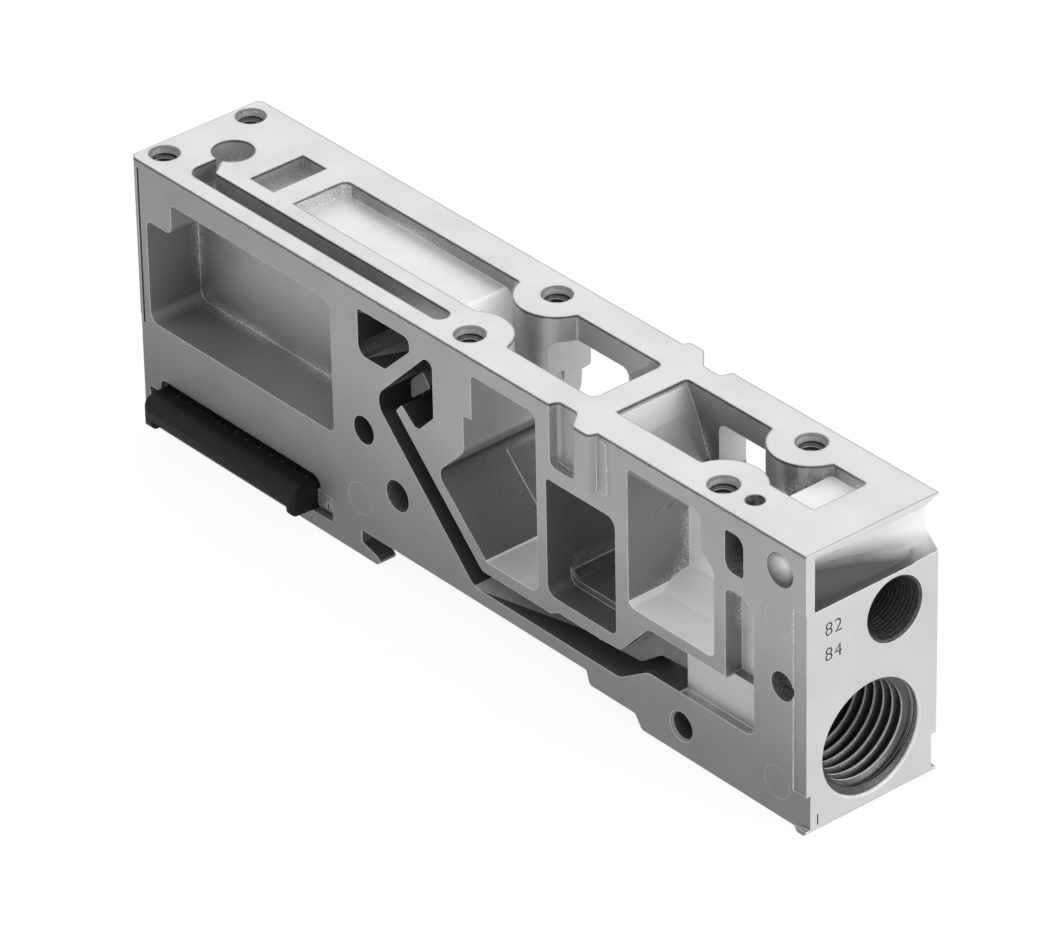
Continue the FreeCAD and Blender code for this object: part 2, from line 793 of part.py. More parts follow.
def round_holes():
    """Pin, tie and locating holes of the side face, with its ejector marks."""
    cuts = [
        front_hole(pin_hole_x, pin_hole_drop, pin_hole_bore, pin_hole_depth),
        front_hole(tie_x, tie_drop, tie_bore, width + overshoot),
        front_hole(end_hole_x, pin_hole_drop, pin_hole_bore, pin_hole_depth),
        front_hole(lower_hole_x, lower_hole_drop, lower_hole_bore, lower_hole_depth),
    ]
    bowl = ((dimple_bore / 2) ** 2 + dimple_depth ** 2) / (2 * dimple_depth)
    cuts.append(Part.makeSphere(bowl, at(dimple_x, dimple_depth - bowl, dimple_drop)))
    chamfer = (lower_hole_rim - lower_hole_bore) / 2
    cuts.append(Part.makeCone(
        lower_hole_rim / 2 + chamfer, lower_hole_bore / 2, 2 * chamfer,
        at(lower_hole_x, -chamfer, lower_hole_drop), FreeCAD.Vector(0, 1, 0)))
    for x, drop in ejector_places:
        cuts.append(front_hole(x, drop, ejector_mark, ejector_sink))
    return cuts


def port_end():
    """Two threaded ports, the recess under the lip with its pocket, and the foot."""
    main = end_bore(width / 2, main_port_drop, main_port_major, main_port_rim, main_thread_depth)
    duct_start = w4_right - duct_reach
    duct = Part.makeCylinder(
        main_bore / 2, length - duct_start, at(duct_start, width / 2, main_port_drop),
        FreeCAD.Vector(1, 0, 0))
    pilot = end_bore(pilot_port_y, pilot_port_drop, pilot_port_major, pilot_port_rim, pilot_thread_depth)
    lip = side_prism([
        (length + overshoot, lip_drop - overshoot, 0),
        (length, lip_drop, crisp_round),
        (length - lip_reach, lip_wall_top, small_round),
        (length - lip_reach, lip_wall_bottom, broad_round),
        (length, lip_foot, crisp_round),
        (length + overshoot, lip_foot, 0),
    ], cheek, width + overshoot)
    pocket = end_prism([
        (cheek, pocket_rise, small_round),
        (pocket_back, pocket_fall, crisp_round),
        (pocket_back, lip_foot + pocket_sink, middle_round),
        (cheek, lip_foot + pocket_sink, crisp_round),
    ], length - pocket_length, length + overshoot)
    scoop = side_prism([
        (length - pocket_length, pocket_rise - pocket_sink, pocket_round),
        (length + overshoot, pocket_rise - pocket_sink, 0),
        (length + overshoot, lip_foot + pocket_sink, 0),
        (length - pocket_length, lip_foot + pocket_sink, pocket_round),
    ], cheek, pocket_back)
    run_out = top_prism([
        (length - pocket_length, cheek, 0),
        (length - pocket_length, width / 2, middle_round),
        (length - lip_reach / 2, pocket_back, 0),
        (length + overshoot, pocket_back, 0),
        (length + overshoot, cheek, 0),
    ], 0, lip_foot + overshoot)
    pocket = pocket.common(scoop).common(run_out)
    return [main, duct, pilot, lip, pocket]


def end_details():
    """Foot that narrows towards the toe, side relief, and the groove beside the flange."""
    foot = side_prism([
        (length - foot_length, foot_drop, 0),
        (length + overshoot, foot_drop, 0),
        (length + overshoot, height - outline_round, 0),
        (length - foot_length, bore_floor_drop, 0),
    ], -overshoot, width + overshoot)
    narrowing = foot_recess * (foot_length + overshoot) / foot_length
    wedges = []
    for face, inward in ((0, 1), (width, -1)):
        outline = [
            (length - foot_length, face, 0),
            (length + overshoot, face + inward * narrowing, 0),
            (length + overshoot, face - inward * overshoot, 0),
            (length - foot_length, face - inward * overshoot, 0),
        ]
        wedges.append(foot.common(top_prism(outline, foot_drop, height)))
    relief = box_corners(length - foot_length, lip_foot, length + overshoot, foot_drop)
    groove = box_corners(
        flange_groove_x, flange_groove_top, flange_groove_x + flange_groove_width, flange_drop + overshoot)
    return wedges + [
        side_prism(relief, -overshoot, side_relief),
        side_prism(groove, -overshoot, flange_groove_depth),
    ]


link_left = link_middle - link_length / 2
link_right = link_middle + link_length / 2


def mouth_corners(play):
    """Outline of the tunnel that holds the electrical link, or of what fills it with some play."""
    left = link_left - link_play + play
    right = link_right + link_play - play
    ear = mouth_ear
    return [
        (left, mouth_top + play, middle_round),
        (right, mouth_top + play, wide_round),
        (right, mouth_step + play, crisp_round),
        (right + ear, mouth_step + play, crisp_round),
        (right + ear, mouth_bottom, crisp_round),
        (left - ear, mouth_bottom, crisp_round),
        (left - ear, mouth_step + play, crisp_round),
        (left, mouth_step + play, crisp_round),
    ]


def link_mouth():
    """Tunnel across the plate, and the shelf that its right ear ends on near the front."""
    tunnel = side_prism(mouth_corners(0), -overshoot, width + overshoot)
    shelf_left = link_right + link_play
    shelf = side_prism(
        box_corners(shelf_left, mouth_step, shelf_left + mouth_ear, ear_shelf_drop), ear_shelf_depth, width)
    return [tunnel.cut(shelf)]


def link_housing():
    """Black moulding: a hood with two cheeks at the front, a body, and a socket at the back."""
    hood = end_prism([
        (-link_proud, hood_top, hood_round),
        (body_depth, hood_top, 0),
        (body_depth, mouth_bottom, 0),
        (-link_proud, mouth_bottom, hood_corner),
    ], link_left, link_right)
    hood = hood.common(top_prism([
        (link_left, -link_proud, hood_corner),
        (link_right, -link_proud, hood_corner),
        (link_right, body_depth, 0),
        (link_left, body_depth, 0),
    ], mouth_top, height))
    body = side_prism(mouth_corners(link_play), body_depth, width)
    clearance = side_prism(
        box_corners(link_right, mouth_top, link_right + mouth_ear + overshoot, height), 0, width + overshoot)
    cavity = side_prism(box_corners(
        link_left + hood_cheek, hood_brow, link_right - hood_cheek, height),
        -link_proud - overshoot, hood_cavity)
    socket = side_prism(box_corners(
        link_left + socket_rim, mouth_step + socket_rim / 2, link_right - socket_rim,
        mouth_bottom - socket_rim / 2, crisp_round), width - socket_depth, width + overshoot)
    return hood.fuse(body.cut(clearance)).cut(cavity).cut(socket).removeSplitter()


def contact(index):
    """One blade from the hood's cavity to the socket, with a leg that shows on top of the hood."""
    x = link_middle + (index - (contact_count - 1) / 2) * contact_pitch
    half = contact_thick / 2
    blade = side_prism(
        box_corners(x - half, contact_drop - half, x + half, contact_drop + half),
        hood_cavity - contact_tip, width - contact_end)
    leg = top_prism(
        box_corners(x - half, contact_foot_y - half, x + half, contact_foot_y + half),
        hood_top - contact_proud, contact_drop)
    return blade.fuse(leg).removeSplitter()


def casting():
    plate = aligning_keys(plate_blank())
    groups = (screw_holes, top_pockets, supply_duct, exhaust_duct, other_windows,
              hook_channel, round_holes, port_end, end_details, link_mouth)
    for group in groups:
        for cut in group():
            plate = plate.cut(cut)
    return plate.removeSplitter()


contacts = Part.makeCompound([contact(index) for index in range(contact_count)])
pieces = {
    "plate_casting": casting(),
    "link_housing": link_housing().cut(contacts),
    "link_contacts": contacts,
}

os.makedirs("parts", exist_ok=True)
for name, shape in pieces.items():
    solids = len(shape.Solids)
    print(name, solids, "solid", round(shape.Volume, 1), "mm3", shape.isValid(), shape.BoundBox)
    shape.exportStep("parts/" + name + ".step")
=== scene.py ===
import math

import bpy
from mathutils import Matrix, Vector


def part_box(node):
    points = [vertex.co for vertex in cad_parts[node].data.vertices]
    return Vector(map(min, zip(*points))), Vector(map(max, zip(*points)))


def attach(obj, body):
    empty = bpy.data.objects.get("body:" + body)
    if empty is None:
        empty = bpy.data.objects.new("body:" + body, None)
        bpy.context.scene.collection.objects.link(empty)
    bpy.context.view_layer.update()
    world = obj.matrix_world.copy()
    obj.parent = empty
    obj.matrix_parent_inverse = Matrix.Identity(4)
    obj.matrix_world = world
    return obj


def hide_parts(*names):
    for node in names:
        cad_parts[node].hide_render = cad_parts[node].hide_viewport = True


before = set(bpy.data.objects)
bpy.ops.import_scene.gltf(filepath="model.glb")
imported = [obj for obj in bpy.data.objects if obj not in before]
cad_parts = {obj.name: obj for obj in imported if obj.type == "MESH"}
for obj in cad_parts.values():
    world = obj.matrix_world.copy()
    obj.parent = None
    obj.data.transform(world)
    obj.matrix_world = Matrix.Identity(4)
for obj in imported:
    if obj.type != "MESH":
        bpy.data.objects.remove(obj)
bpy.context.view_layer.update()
bpy.ops.object.select_all(action="DESELECT")

# Camera: the photograph's viewpoint, above the right front corner, with a long lens.
# The columns of the matrix are the camera's right, up and backward directions, and its place.
camera = bpy.data.objects.new("camera", bpy.data.cameras.new("camera"))
bpy.context.scene.collection.objects.link(camera)
camera.matrix_world = Matrix((
    (0.6526, -0.3942, 0.6471, 0.53687),
    (0.7576, 0.3581, -0.5458, -0.45099),
    (-0.0166, 0.8464, 0.5323, 0.45690),
    (0, 0, 0, 1),
))
camera.data.sensor_fit = "HORIZONTAL"
camera.data.sensor_width = 36
camera.data.lens = 270.4
camera.data.clip_start = 0.05
camera.data.clip_end = 20
bpy.context.scene.camera = camera
bpy.context.scene.view_settings.view_transform = "Standard"


# Studio: a white floor in a pale room, with one soft lamp at the back left, which the top face mirrors,
# and one at the right for the port end. The floor shows as white to the camera and in reflections.
room_grey = 0.9
floor_grey = 0.9
floor_size = 8
floor_gap = 0.0002          # below the underside of the part
white_strength = 1.02       # of the floor where it is seen directly
white_share = 0.9           # the rest is paper that takes the shadow


def combined(nodes, links, operation, first, second):
    """A Math node's result for two values, each of them a node's output or a plain number."""
    maths = nodes.new("ShaderNodeMath")
    maths.operation = operation
    for socket, value in zip(maths.inputs, (first, second)):
        if isinstance(value, (int, float)):
            socket.default_value = value
        else:
            links.new(value, socket)
    return maths.outputs[0]


def seen_directly(nodes, links, share):
    """The share for rays that come straight from the camera or off a glossy or clear surface, else 0."""
    rays = nodes.new("ShaderNodeLightPath").outputs
    bounced = combined(nodes, links, "MAXIMUM", rays["Is Glossy Ray"], rays["Is Transmission Ray"])
    seen = combined(nodes, links, "MAXIMUM", rays["Is Camera Ray"], bounced)
    return combined(nodes, links, "MULTIPLY", seen, share)


def blank_finish(name):
    """A new material with its nodes, its links and its plain shader."""
    finish = bpy.data.materials.new(name)
    finish.use_nodes = True
    tree = finish.node_tree
    return finish, tree.nodes, tree.links, tree.nodes["Principled BSDF"]


def soft_lamp(name, wide, high, power, place):
    """A rectangular lamp that looks at the middle of the part's underside."""
    lamp = bpy.data.lights.new(name, "AREA")
    lamp.shape = "RECTANGLE"
    lamp.size = wide
    lamp.size_y = high
    lamp.energy = power
    holder = bpy.data.objects.new(name, lamp)
    bpy.context.scene.collection.objects.link(holder)
    holder.location = place
    holder.rotation_euler = (-Vector(place)).to_track_quat("-Z", "Y").to_euler()


room = bpy.data.worlds.new("pale_room")
bpy.context.scene.world = room
room.use_nodes = True
room.node_tree.nodes["Background"].inputs["Color"].default_value = (room_grey, room_grey, room_grey, 1)

soft_lamp("lamp_back_left", 0.8, 0.8, 0.9, (-0.75, 0.65, 0.75))
soft_lamp("lamp_end", 0.7, 0.6, 4.5, (1.0, 0.25, 0.35))

bpy.ops.mesh.primitive_grid_add(
    x_subdivisions=8, y_subdivisions=8, size=floor_size, location=(0, 0, -floor_gap))
floor = bpy.context.object
floor.name = "floor"
floor_finish, nodes, links, paper = blank_finish("pale_floor")
paper.inputs["Base Color"].default_value = (floor_grey, floor_grey, floor_grey, 1)
paper.inputs["Roughness"].default_value = 1.0
paper.inputs["Specular IOR Level"].default_value = 0.0
white_paper = nodes.new("ShaderNodeEmission")
white_paper.inputs["Strength"].default_value = white_strength
floor_mix = nodes.new("ShaderNodeMixShader")
links.new(seen_directly(nodes, links, white_share), floor_mix.inputs[0])
links.new(paper.outputs[0], floor_mix.inputs[1])
links.new(white_paper.outputs[0], floor_mix.inputs[2])
links.new(floor_mix.outputs[0], nodes["Material Output"].inputs["Surface"])
floor.data.materials.append(floor_finish)
bpy.ops.object.select_all(action="DESELECT")


# Casting, first step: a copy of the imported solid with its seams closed, so that the port numbers can be
# stamped into its end face, as sans-serif figures. The walls of the bores are parted where their
# countersinks end, and the ejector marks are made as shallow as they look. Lengths are in metres, but
# places on the casting, and what says so, are in millimetres.
end_face_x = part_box("plate_casting")[1].x
left_end_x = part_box("plate_casting")[0].x
top_face_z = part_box("plate_casting")[1].z
front_face_y = -0.007875    # the key stands out from both long sides, so the box doesn't give these two
back_face_y = 0.010025
length = (end_face_x - left_end_x) * 1000
screw_ring = 0.85           # depth of the screw holes' countersinks, in mm
port_ring = 1.1             # depth of the supply port's countersink, in mm
packed_mark = 0.00006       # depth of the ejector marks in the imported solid
ejector_mark = 0.000012     # and as they look
digit_depth = 0.0002
capital_share = 0.7         # height of a figure as a share of its type size


def casting_point(x, y, drop):
    """A point in the frame from millimetres right of the left end, behind the front face and below the top."""
    return Vector((left_end_x + x / 1000, front_face_y + y / 1000, top_face_z - drop / 1000))


def work_on(piece):
    """Makes a piece the only one selected."""
    bpy.ops.object.select_all(action="DESELECT")
    piece.select_set(True)
    bpy.context.view_layer.objects.active = piece


def edit_all(piece):
    """Opens a piece in edit mode with all of it selected."""
    work_on(piece)
    bpy.ops.object.mode_set(mode="EDIT")
    bpy.ops.mesh.select_all(action="SELECT")


def closed_copy(node_name, name):
    """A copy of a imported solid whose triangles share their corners. It is left open in edit mode."""
    piece = bpy.data.objects.new(name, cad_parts[node_name].data.copy())
    bpy.context.scene.collection.objects.link(piece)
    piece.data.materials.clear()
    edit_all(piece)
    bpy.ops.mesh.customdata_custom_splitnormals_clear()
    bpy.ops.mesh.remove_doubles(threshold=1e-6)
    bpy.ops.mesh.normals_make_consistent(inside=False)
    return piece


casting = closed_copy("plate_casting", "die_cast_plate")
bpy.ops.mesh.bisect(plane_co=casting_point(0, 0, screw_ring), plane_no=(0, 0, 1))
bpy.ops.mesh.select_all(action="SELECT")
bpy.ops.mesh.bisect(plane_co=casting_point(length - port_ring, 0, 0), plane_no=(1, 0, 0))
bpy.ops.object.mode_set(mode="OBJECT")
for corner in casting.data.vertices:
    if abs(corner.co.y - front_face_y - packed_mark) < 0.000002:
        corner.co.y = front_face_y + ejector_mark


def stamped_figure(text, y, drop, high):
    """Sinks a figure into the end face, at its middle y and the drop to its middle, in millimetres."""
    place = (end_face_x - digit_depth, front_face_y + y / 1000, top_face_z - (drop + high / 2) / 1000)
    bpy.ops.object.text_add(location=place, rotation=(math.pi / 2, 0, math.pi / 2))
    figure = bpy.context.object
    figure.data.body = text
    figure.data.align_x = "CENTER"
    figure.data.size = high / 1000 / capital_share
    figure.data.space_character = 1.1
    figure.data.resolution_u = 3
    bpy.ops.object.convert(target="MESH")
    bpy.ops.object.transform_apply(location=True, rotation=True, scale=True)
    edit_all(figure)
    bpy.ops.mesh.extrude_region_move(TRANSFORM_OT_translate={"value": (2 * digit_depth, 0, 0)})
    bpy.ops.mesh.select_all(action="SELECT")
    bpy.ops.mesh.remove_doubles(threshold=1e-7)
    bpy.ops.mesh.normals_make_consistent(inside=False)
    bpy.ops.object.mode_set(mode="OBJECT")
    work_on(casting)
    stamp = casting.modifiers.new("stamp", "BOOLEAN")
    stamp.operation = "DIFFERENCE"
    stamp.solver = "EXACT"
    stamp.object = figure
    bpy.ops.object.modifier_apply(modifier="stamp")
    bpy.data.objects.remove(figure)


stamped_figure("82", 3.71, 9.75, 1.6)
stamped_figure("84", 3.71, 12.74, 1.6)
stamped_figure("1", 1.64, 32.02, 1.4)


# Casting, second step: its threads, G 1/4 in the supply port, fine in the pilot port and M3 in the six
# screw holes, all right-hand. Each is a ridge that winds along its bore and runs out at both ends.
supply_port = (8.95, 25.38)                 # y and drop of the ports' axes, in mm
pilot_port = (12.0, 11.3)
screw_columns = (2.2, 52.7, 91.8)           # x and y of the screw holes, in mm
screw_rows = (3.0, 14.9)
foot_share = 0.84                           # of the pitch, taken by the foot of a ridge
crest_share = 0.22                          # of the foot, left at its crest
sunk_share = 0.05                           # of its height, sunk into the wall
run_out_turn = math.pi / 3
least_height = 0.02


def thread_ridge(name, root, crest, pitch, turns, steps, place, rotation, mouth=0.001):
    """Winds the ridge up from place along its own z, which rotation then turns to the bore's direction.
    A countersink ends at the distance mouth before place, and cuts the ridge at 45 degrees."""
    foot = root + sunk_share * (root - crest)
    bpy.ops.mesh.primitive_plane_add(
        size=1, location=((crest + foot) / 2, 0, 0), rotation=(math.pi / 2, 0, 0))
    ridge = bpy.context.object
    ridge.name = name
    bpy.ops.transform.resize(value=(foot - crest, 1, foot_share * pitch))
    bpy.ops.object.transform_apply(location=True, rotation=True, scale=True)
    middle = (root + crest) / 2
    bpy.ops.object.mode_set(mode="EDIT")
    bpy.ops.mesh.select_mode(type="VERT")
    bpy.ops.mesh.select_all(action="DESELECT")
    bpy.ops.object.mode_set(mode="OBJECT")
    for corner in ridge.data.vertices:
        corner.select = corner.co.x < middle
    bpy.ops.object.mode_set(mode="EDIT")
    bpy.ops.transform.resize(value=(1, 1, crest_share))
    bpy.ops.mesh.select_all(action="SELECT")
    bpy.ops.mesh.delete(type="ONLY_FACE")
    bpy.ops.object.mode_set(mode="OBJECT")
    winding = ridge.modifiers.new("winding", "SCREW")
    winding.axis = "Z"
    winding.angle = 2 * math.pi
    winding.screw_offset = pitch
    winding.iterations = turns
    winding.steps = steps
    winding.render_steps = steps
    bpy.ops.object.modifier_apply(modifier="winding")
    total = turns * 2 * math.pi
    for corner in ridge.data.vertices:
        radius = math.hypot(corner.co.x, corner.co.y)
        turn = math.atan2(corner.co.y, corner.co.x) % (2 * math.pi)
        whole = round((corner.co.z / pitch) - turn / (2 * math.pi))
        along = whole * 2 * math.pi + turn
        height = min(1.0, max(least_height, min(along, total - along) / run_out_turn))
        height = min(height, max(least_height, (corner.co.z + mouth) / (root - crest)))
        corner.co.z = max(corner.co.z, -mouth)
        if radius < middle:
            lifted = foot + (radius - foot) * height
            corner.co.x *= lifted / radius
            corner.co.y *= lifted / radius
    bpy.ops.object.mode_set(mode="EDIT")
    bpy.ops.mesh.select_all(action="DESELECT")
    bpy.ops.mesh.select_non_manifold()
    bpy.ops.mesh.fill_holes(sides=4)
    bpy.ops.mesh.select_all(action="SELECT")
    bpy.ops.mesh.normals_make_consistent(inside=False)
    bpy.ops.object.mode_set(mode="OBJECT")
    ridge.rotation_euler = rotation
    ridge.location = place
    bpy.ops.object.transform_apply(location=True, rotation=True, scale=True)
    return ridge


inward_x = (0, -math.pi / 2, 0)
inward_z = (math.pi, 0, 0)
ridges = [
    thread_ridge("supply_thread", 0.0065785, 0.0057225, 0.001337, 9, 72,
                 casting_point(length - 0.05, *supply_port), inward_x, mouth=-0.0002),
    thread_ridge("pilot_thread", 0.0035, 0.00345, 0.0005, 12, 48,
                 casting_point(length - 0.7, *pilot_port), inward_x),
]
for column in screw_columns:
    for row in screw_rows:
        ridges.append(thread_ridge(
            "screw_thread", 0.0015, 0.0012295, 0.0005, 9, 32, casting_point(column, row, 1.0), inward_z))


# Casting, third step: small forms on its walls. The slitted block in the link's right ear, the burr in the
# stepped window and the raised parting line on the slanting wall of the third window.
line_radius = 0.00005


def plain_block(name, low, high):
    """A box between two casting_point corners."""
    bpy.ops.mesh.primitive_cube_add(size=1, location=(low + high) / 2)
    block = bpy.context.object
    block.name = name
    bpy.ops.transform.resize(value=tuple(abs(side) for side in high - low))
    bpy.ops.object.transform_apply(location=True, rotation=True, scale=True)
    return block


def raised_line(name, start, end, jagged):
    """A thin round ridge from start to end, whose points stray by the distance jagged."""
    way = end - start
    bpy.ops.mesh.primitive_cylinder_add(
        vertices=8, radius=line_radius, depth=way.length, location=(start + end) / 2,
        rotation=way.to_track_quat("Z", "Y").to_euler())
    line = bpy.context.object
    line.name = name
    edit_all(line)
    bpy.ops.mesh.bisect(plane_co=(start + end) / 2, plane_no=way.normalized())
    bpy.ops.mesh.select_all(action="SELECT")
    bpy.ops.mesh.subdivide(number_cuts=10)
    bpy.ops.transform.vertex_random(offset=jagged, uniform=1.0, seed=4)
    bpy.ops.object.mode_set(mode="OBJECT")
    bpy.ops.object.transform_apply(location=True, rotation=True, scale=True)
    return line


ear_block = plain_block("ear_block", casting_point(29.35, 0.79, 30.95), casting_point(32.6, 2.2, 28.8))
ear_slit = plain_block("ear_slit", casting_point(30.85, 0.5, 30.6), casting_point(31.1, 1.7, 29.6))
work_on(ear_block)
slit = ear_block.modifiers.new("slit", "BOOLEAN")
slit.operation = "DIFFERENCE"
slit.object = ear_slit
bpy.ops.object.modifier_apply(modifier="slit")
bpy.data.objects.remove(ear_slit)
burr = raised_line("burr", casting_point(80.57, 3.47, 8.92), casting_point(80.57, 7.13, 8.93), 0.00005)
parting_line = raised_line(
    "parting_line", casting_point(50.4, 8.95, 16.6), casting_point(58.1, 8.95, 24.05), 0.00001)


# Casting, fourth step: its finishes. Milled on top, at both ends and in the ports, smooth die skin on the
# long sides, and duller skin on the inner walls, which painted shade darkens inwards and where some fillets
# have painted glints. A thin ragged line of painted shade runs along the top of every wall.
def mapped(nodes, links, source, low, high, out_low, out_high):
    """Moves the range low to high of a value to out_low to out_high, and stops at both."""
    change = nodes.new("ShaderNodeMapRange")
    change.inputs["From Min"].default_value = low
    change.inputs["From Max"].default_value = high
    change.inputs["To Min"].default_value = out_low
    change.inputs["To Max"].default_value = out_high
    links.new(source, change.inputs["Value"])
    return change.outputs["Result"]


def measured(nodes, links, operation, first, second):
    """A Vector Math node's value for a node's output and another one or a plain point."""
    maths = nodes.new("ShaderNodeVectorMath")
    maths.operation = operation
    links.new(first, maths.inputs[0])
    if isinstance(second, tuple):
        maths.inputs[1].default_value = second
    else:
        links.new(second, maths.inputs[1])
    return maths.outputs["Value"]


def mixed(nodes, links, share, under, over):
    """Lays the colour over, given as a value, on the colour under by its share."""
    layer = nodes.new("ShaderNodeMix")
    layer.data_type = "RGBA"
    links.new(share, layer.inputs["Factor"])
    links.new(under, layer.inputs["A"])
    layer.inputs["B"].default_value = (over, over, over, 1)
    return layer.outputs["Result"]


def noise(nodes, links, place, scale, detail):
    """A noise pattern's value."""
    pattern = nodes.new("ShaderNodeTexNoise")
    pattern.inputs["Scale"].default_value = scale
    pattern.inputs["Detail"].default_value = detail
    links.new(place, pattern.inputs["Vector"])
    return pattern.outputs["Fac"]


def tinted(nodes, links, grain, low, high, dark, light):
    """Colours the grain from dark at the value low to light at the value high."""
    ramp = nodes.new("ShaderNodeValToRGB")
    for stop, position, colour in zip(ramp.color_ramp.elements, (low, high), (dark, light)):
        stop.position = position
        stop.color = (*colour, 1)
    links.new(grain, ramp.inputs["Fac"])
    return ramp.outputs["Color"]


def openness(nodes, distance):
    """Share of open sky over a point, out to a distance."""
    shade = nodes.new("ShaderNodeAmbientOcclusion")
    shade.samples = 8
    shade.inputs["Distance"].default_value = distance
    return shade.outputs["AO"]


def soft_grain(nodes, links, shader, grain, radius, samples, strength, height):
    """Gives a shader rounded edges and a raised grain, and returns the rounded normal."""
    edge = nodes.new("ShaderNodeBevel")
    edge.samples = samples
    edge.inputs["Radius"].default_value = radius
    bump = nodes.new("ShaderNodeBump")
    bump.inputs["Strength"].default_value = strength
    bump.inputs["Distance"].default_value = height
    links.new(grain, bump.inputs["Height"])
    links.new(edge.outputs["Normal"], bump.inputs["Normal"])
    links.new(bump.outputs["Normal"], shader.inputs["Normal"])
    return edge.outputs["Normal"]


# Noise scales are per metre. A range holds the ends of a value and what mapped makes of them.
fine_grain = 5200
tint_stops = (0.3, 0.7)
cloud_scale = 160
cloud_range = (0.3, 0.7, 0.95, 1.04)
hollow_reach = 0.012                    # how far off a wall the painted recess shade still reaches
hollow_open = (0.15, 0.6)
left_span = (-0.05, 0.01)               # x, along which the painted shade on the long sides fades from the left end
spot_reach = (0.0003, 0.0020)
spot_least = 0.12
lip_slant = (0, 0.24, 1.0)              # direction in which the painted shade in the hollow under the lip lightens
lip_range = (0.0277, 0.0309, 0.09, 0.78)
edge_range = (0.995, 0.90, 0.0, 0.8)    # of the rounded normal's share along the flat one
grain_height = 0.00003
sheen_spread = 0.06
rim_tone = 0.04
rim_waves = 700
rim_strays = 0.0003                     # how far the shade line under the top face strays
rim_span = (top_face_z - 0.00016, top_face_z - 0.00008)
# The fillet, glitter and patch values below place the painted glints.
fillet_reach = 0.003
fillet_open = (0.72, 0.5)
glitter_tone = 0.93
glitter_grain = 3600
glitter_range = (0.45, 0.62, 0.25, 1.0)
patch_scale = 130
patch_range = (0.42, 0.58, 0.15, 1.0)


def metal_finish(name, tone, spread, rough, metallic=1.0, relief=0.1, painted_edge_tone=0.95,
                 glitter=0.0, recess_shade=1.0, painted_foot_tone=1.0, foot=(0.005, 0.023), soft=0.00014,
                 lip_shade=False, painted_left_tone=1.0, highlight_spot=None, rim=0.75):
    """Aluminium of one tone, with its edges at painted_edge_tone, as wear and as painted highlight or shade.
    It may have painted glints in its fillets, painted shade to the share deepest in its recesses, a tone of
    painted_foot_tone over the heights foot as painted shade or, above 1, painted light, painted shade to
    painted_left_tone at the left end and down the hollow under the lip, a painted highlight at one point only,
    and a painted shade line at the rim of the top."""
    finish, nodes, links, metal = blank_finish(name)
    metal.inputs["Metallic"].default_value = metallic
    place = nodes.new("ShaderNodeTexCoord").outputs["Object"]
    grain = noise(nodes, links, place, fine_grain, 3)
    tint = tinted(nodes, links, grain, *tint_stops, [tone - spread] * 3,
                  (tone + spread * 0.98, tone + spread, tone + spread * 0.99))
    split = nodes.new("ShaderNodeSeparateXYZ")
    links.new(place, split.inputs[0])
    shades = [mapped(nodes, links, noise(nodes, links, place, cloud_scale, 2), *cloud_range)]
    # Painted shade in recesses, from ambient occlusion.
    if recess_shade < 1:
        shades.append(mapped(nodes, links, openness(nodes, hollow_reach), *hollow_open, recess_shade, 1.0))
    # Painted tone over the foot heights: painted shade, or painted light where the tone is above 1.
    if painted_foot_tone != 1:
        shades.append(mapped(nodes, links, split.outputs["Z"], *foot, painted_foot_tone, 1.0))
    # Painted shade towards the left end.
    if painted_left_tone < 1:
        shades.append(mapped(nodes, links, split.outputs["X"], *left_span, painted_left_tone, 1.0))
    # Painted highlight around one point, used for the dimple.
    if highlight_spot:
        away = measured(nodes, links, "DISTANCE", place, highlight_spot)
        shades.append(mapped(nodes, links, away, *spot_reach, 1.0, spot_least))
    # Painted shade down the hollow under the lip.
    if lip_shade:
        slant = measured(nodes, links, "DOT_PRODUCT", place, lip_slant)
        shades.append(mapped(nodes, links, slant, *lip_range))
    shade = shades[0]
    for more in shades[1:]:
        shade = combined(nodes, links, "MULTIPLY", shade, more)
    shaded = nodes.new("ShaderNodeVectorMath")
    shaded.operation = "SCALE"
    links.new(tint, shaded.inputs[0])
    links.new(shade, shaded.inputs["Scale"])
    rounded = soft_grain(nodes, links, metal, grain, soft, 4, relief, grain_height)
    surface = nodes.new("ShaderNodeNewGeometry")
    # Edges: wear, and painted highlight or painted shade line.
    facing = measured(nodes, links, "DOT_PRODUCT", rounded, surface.outputs["Normal"])
    edge_wear_and_highlight = mapped(nodes, links, facing, *edge_range)
    colour = mixed(nodes, links, edge_wear_and_highlight, shaded.outputs["Vector"], painted_edge_tone)
    # Painted shade line along the top of every wall.
    if rim > 0:
        waves = combined(nodes, links, "MULTIPLY", noise(nodes, links, place, rim_waves, 3), rim_strays)
        ragged = combined(nodes, links, "ADD", waves, split.outputs["Z"])
        brink = mapped(nodes, links, ragged, *rim_span, 0.0, rim)
        colour = mixed(nodes, links, brink, colour, rim_tone)
    # Painted glints in the fillets.
    if glitter > 0:
        fillet = mapped(nodes, links, openness(nodes, fillet_reach), *fillet_open, 0.0, glitter)
        grains = mapped(nodes, links, noise(nodes, links, place, glitter_grain, 2), *glitter_range)
        patches = mapped(nodes, links, noise(nodes, links, place, patch_scale, 1), *patch_range)
        painted_glint = combined(nodes, links, "MULTIPLY", fillet, grains)
        painted_glint = combined(nodes, links, "MULTIPLY", painted_glint, patches)
        colour = mixed(nodes, links, painted_glint, colour, glitter_tone)
    links.new(colour, metal.inputs["Base Color"])
    sheen = mapped(nodes, links, grain, 0.0, 1.0, rough - sheen_spread, rough + sheen_spread)
    links.new(sheen, metal.inputs["Roughness"])
    return finish
